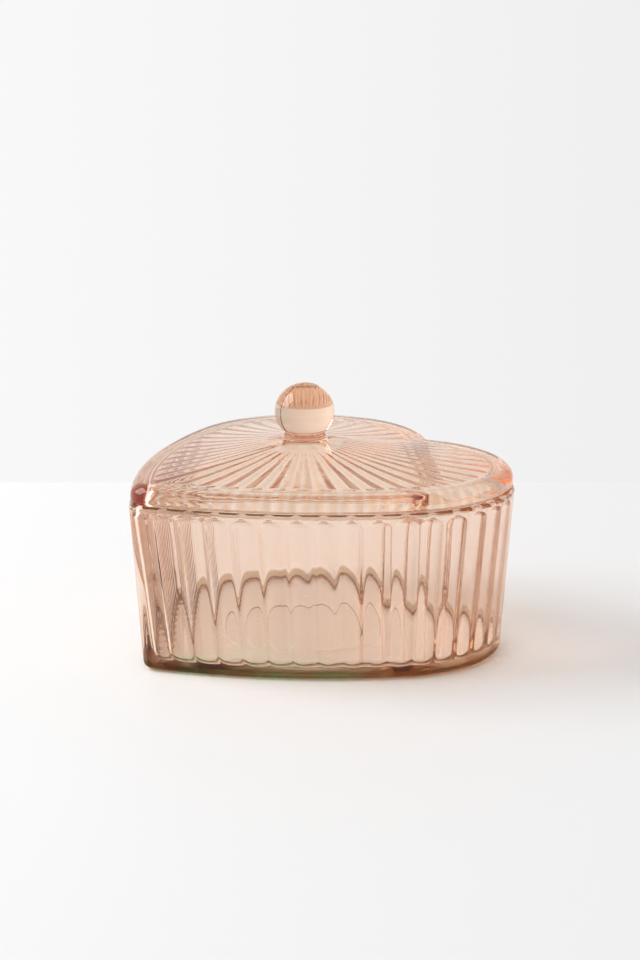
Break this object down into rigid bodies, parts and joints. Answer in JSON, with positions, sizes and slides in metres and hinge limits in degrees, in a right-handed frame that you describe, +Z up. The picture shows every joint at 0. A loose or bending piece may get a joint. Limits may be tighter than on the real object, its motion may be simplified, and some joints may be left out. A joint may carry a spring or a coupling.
{
  "type": "heart-shaped trinket box",
  "caption": "Heart-shaped pressed-glass trinket box with fluted inner walls and a loose fluted lid lifted by a ball knob.",
  "frame": {"origin": "on the table under the middle of the box's outline", "axes": "+Z up; the heart's point faces -Y and its cleft +Y; +X across the two lobes"},
  "size_m": [0.14, 0.136, 0.0937],
  "materials": {
    "tub_glass": "clear peach-pink pressed glass, fire-polished, darker and browner where it is thick",
    "lid_glass": "clear peach-pink pressed glass, fire-polished, faint mould seam on the knob"
  },
  "bodies": {
    "box": {"heart_tub": "tub_glass"},
    "lid": {"heart_lid": "lid_glass"}
  },
  "joints": [
    {"name": "lid_lift", "type": "slide", "parent": "box", "child": "lid", "axis": [0, 0, 1], "range_m": [0, 0.12]}
  ]
}
